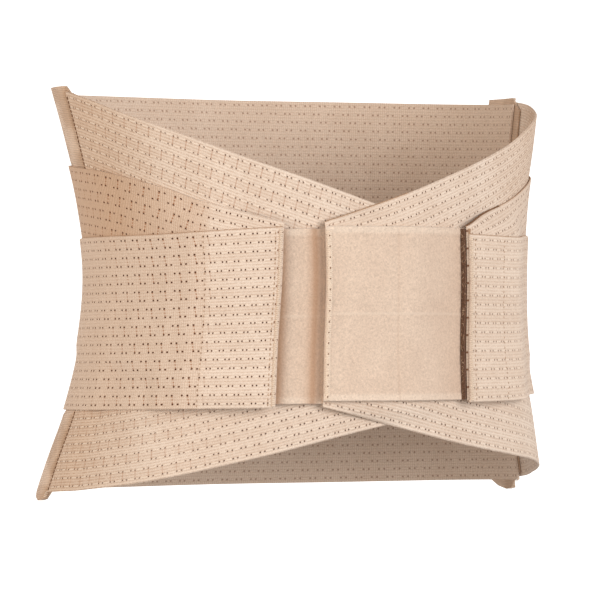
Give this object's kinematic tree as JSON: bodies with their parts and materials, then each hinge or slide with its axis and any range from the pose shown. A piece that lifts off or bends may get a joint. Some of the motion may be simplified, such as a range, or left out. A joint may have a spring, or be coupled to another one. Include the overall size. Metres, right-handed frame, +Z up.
{
  "type": "lumbosacral brace",
  "caption": "Perforated elastic lumbosacral brace, closed as worn: crossing wings on plush loop panels at the front, outer tension straps with hook ends, side stay tapes and a back panel.",
  "frame": {"origin": "middle of the waist hollow, level with the middle of the front panels", "axes": "+Z up along the wearer's body, -Y to the front, +X to the wearer's left"},
  "size_m": [0.3362, 0.2539, 0.259],
  "materials": {
    "elastic": "beige perforated elastic knit, matt, with fine ribs along the band",
    "tape": "beige woven tape with fine cross ribs",
    "plush": "beige brushed loop pile",
    "hook": "brown hook tape"
  },
  "bodies": {
    "root": {"back_panel": "elastic", "right_stay_tape": "tape", "left_stay_tape": "tape", "right_lower_wing": "elastic", "right_upper_wing": "elastic", "right_front_panel": "plush", "left_lower_wing": "elastic", "left_upper_wing": "elastic", "left_front_panel": "plush", "right_strap_hook": "hook", "right_upper_strap": "elastic", "right_lower_strap": "elastic", "left_strap_hook": "hook", "left_upper_strap": "elastic", "left_lower_strap": "elastic"}
  },
  "joints": []
}
